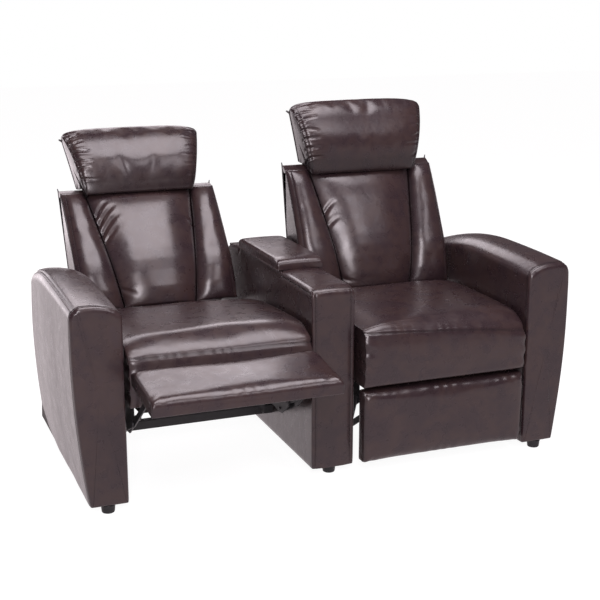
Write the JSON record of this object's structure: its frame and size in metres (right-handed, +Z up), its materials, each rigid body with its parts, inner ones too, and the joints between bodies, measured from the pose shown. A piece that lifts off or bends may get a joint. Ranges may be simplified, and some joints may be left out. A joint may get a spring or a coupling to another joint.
{
  "type": "cinema recliner seat row",
  "caption": "Row of reclining cinema seats with arched padded arms, a lidded console between them, headrests and linked footrests that swing out.",
  "frame": {"origin": "floor point under the middle of the console's front foot", "axes": "+X along the row towards the right-hand seat as seen from the front, +Y from front to back, +Z up"},
  "size_m": [1.476, 1.2126, 1.0048],
  "materials": {
    "leather": "semi-gloss coated upholstery leather, dark aubergine brown",
    "timber": "plywood, stained dark",
    "steel": "black powder coat",
    "plastic": "moulded black"
  },
  "bodies": {
    "base": {"left_arm_frame": "timber", "left_arm_covers": "leather", "left_arm_front_pad": "leather", "left_arm_top_pad": "leather", "right_arm_frame": "timber", "right_arm_covers": "leather", "right_arm_front_pad": "leather", "right_arm_top_pad": "leather", "console_box": "timber", "console_covers": "leather", "console_front_pad": "leather", "console_top_pad": "leather", "console_rear_pad": "leather", "console_tray": "plastic", "console_hinge": "steel", "feet": "plastic", "front_cross_tubes": "steel", "rear_cross_tubes": "steel", "left_base_rails": "steel", "right_base_rails": "steel"},
    "lid": {"lid_board": "timber", "lid_pad": "leather", "lid_hinge": "steel"},
    "left_seat": {"left_seat_frame": "timber", "left_side_plates": "steel", "left_seat_cushion": "leather", "left_seat_tongue": "leather"},
    "left_back_link": {"left_back_links": "leather"},
    "left_back": {"left_back_frame": "timber", "left_back_brackets": "steel", "left_back_panel_cushion": "leather", "left_back_bolsters": "leather", "left_back_cover": "leather"},
    "left_headrest": {"left_headrest_frame": "steel", "left_headrest_cushion": "leather"},
    "left_front_crank": {"left_front_cranks": "steel"},
    "left_rear_crank": {"left_rear_cranks": "steel"},
    "left_coupler": {"left_couplers": "steel"},
    "left_footrest": {"left_footrest_board": "timber", "left_footrest_brackets": "steel", "left_footrest_pad": "leather"},
    "right_seat": {"right_seat_frame": "timber", "right_side_plates": "steel", "right_seat_cushion": "leather", "right_seat_tongue": "leather"},
    "right_back_link": {"right_back_links": "leather"},
    "right_back": {"right_back_frame": "timber", "right_back_brackets": "steel", "right_back_panel_cushion": "leather", "right_back_bolsters": "leather", "right_back_cover": "leather"},
    "right_headrest": {"right_headrest_frame": "steel", "right_headrest_cushion": "leather"},
    "right_front_crank": {"right_front_cranks": "steel"},
    "right_rear_crank": {"right_rear_cranks": "steel"},
    "right_coupler": {"right_couplers": "steel"},
    "right_footrest": {"right_footrest_board": "timber", "right_footrest_brackets": "steel", "right_footrest_pad": "leather"}
  },
  "joints": [
    {"name": "lid_hinge_turn", "type": "hinge", "parent": "base", "child": "lid", "pos_m": [0, 0.5855, 0.554], "axis": [-1, 0, 0], "range_deg": [0, 90]},
    {"name": "left_seat_tilt", "type": "hinge", "parent": "base", "child": "left_seat", "pos_m": [-0.332, 0.26, 0.118], "axis": [-1, 0, 0], "range_deg": [-4, 0]},
    {"name": "left_recline", "type": "hinge", "parent": "left_seat", "child": "left_back_link", "pos_m": [-0.332, 0.53382, 0.11703], "axis": [-1, 0, 0], "range_deg": [-65.5, 15.5]},
    {"name": "left_back_turn", "type": "hinge", "parent": "left_back_link", "child": "left_back", "pos_m": [-0.332, 0.60954, 0.19682], "axis": [-1, 0, 0], "range_deg": [-12.72, 53.76]},
    {"name": "left_headrest_nod", "type": "hinge", "parent": "left_back", "child": "left_headrest", "pos_m": [-0.332, 0.81835, 0.69915], "axis": [1, 0, 0], "range_deg": [0, 20]},
    {"name": "left_front_crank_turn", "type": "hinge", "parent": "left_seat", "child": "left_front_crank", "pos_m": [-0.332, 0.05095, 0.21], "axis": [-1, 0, 0], "range_deg": [-134.05, 0]},
    {"name": "left_rear_crank_turn", "type": "hinge", "parent": "left_seat", "child": "left_rear_crank", "pos_m": [-0.332, 0.10333, 0.17152], "axis": [-1, 0, 0], "range_deg": [-134.05, 0]},
    {"name": "left_coupler_turn", "type": "hinge", "parent": "left_front_crank", "child": "left_coupler", "pos_m": [-0.332, -0.04879, 0.2564], "axis": [-1, 0, 0], "range_deg": [0, 134.05]},
    {"name": "left_footrest_turn", "type": "hinge", "parent": "left_coupler", "child": "left_footrest", "pos_m": [-0.332, -0.15767, 0.33638], "axis": [-1, 0, 0], "range_deg": [-79.6, 0]},
    {"name": "right_seat_tilt", "type": "hinge", "parent": "base", "child": "right_seat", "pos_m": [0.332, 0.26, 0.118], "axis": [-1, 0, 0], "range_deg": [0, 4]},
    {"name": "right_recline", "type": "hinge", "parent": "right_seat", "child": "right_back_link", "pos_m": [0.332, 0.53322, 0.13613], "axis": [-1, 0, 0], "range_deg": [0, 81]},
    {"name": "right_back_turn", "type": "hinge", "parent": "right_back_link", "child": "right_back", "pos_m": [0.332, 0.485, 0.235], "axis": [-1, 0, 0], "range_deg": [-66.48, 0]},
    {"name": "right_headrest_nod", "type": "hinge", "parent": "right_back", "child": "right_headrest", "pos_m": [0.332, 0.54962, 0.77515], "axis": [1, 0, 0], "range_deg": [0, 20]},
    {"name": "right_front_crank_turn", "type": "hinge", "parent": "right_seat", "child": "right_front_crank", "pos_m": [0.332, 0.04504, 0.19519], "axis": [-1, 0, 0], "range_deg": [0, 134.05]},
    {"name": "right_rear_crank_turn", "type": "hinge", "parent": "right_seat", "child": "right_rear_crank", "pos_m": [0.332, 0.09998, 0.16046], "axis": [-1, 0, 0], "range_deg": [0, 134.05]},
    {"name": "right_coupler_turn", "type": "hinge", "parent": "right_front_crank", "child": "right_coupler", "pos_m": [0.332, 0.08819, 0.09401], "axis": [-1, 0, 0], "range_deg": [-134.05, 0]},
    {"name": "right_footrest_turn", "type": "hinge", "parent": "right_coupler", "child": "right_footrest", "pos_m": [0.332, -0.026, 0.1662], "axis": [-1, 0, 0], "range_deg": [0, 79.6]}
  ],
  "couplings": [
    {"joint": "left_back_turn", "follows": "left_recline", "ratio": -0.82061},
    {"joint": "left_rear_crank_turn", "follows": "left_front_crank_turn", "ratio": 1},
    {"joint": "left_coupler_turn", "follows": "left_front_crank_turn", "ratio": -1},
    {"joint": "left_footrest_turn", "follows": "left_front_crank_turn", "ratio": 0.59381},
    {"joint": "left_seat_tilt", "follows": "left_front_crank_turn", "ratio": 0.029839},
    {"joint": "right_back_turn", "follows": "right_recline", "ratio": -0.82061},
    {"joint": "right_rear_crank_turn", "follows": "right_front_crank_turn", "ratio": 1},
    {"joint": "right_coupler_turn", "follows": "right_front_crank_turn", "ratio": -1},
    {"joint": "right_footrest_turn", "follows": "right_front_crank_turn", "ratio": 0.59381},
    {"joint": "right_seat_tilt", "follows": "right_front_crank_turn", "ratio": 0.029839}
  ]
}
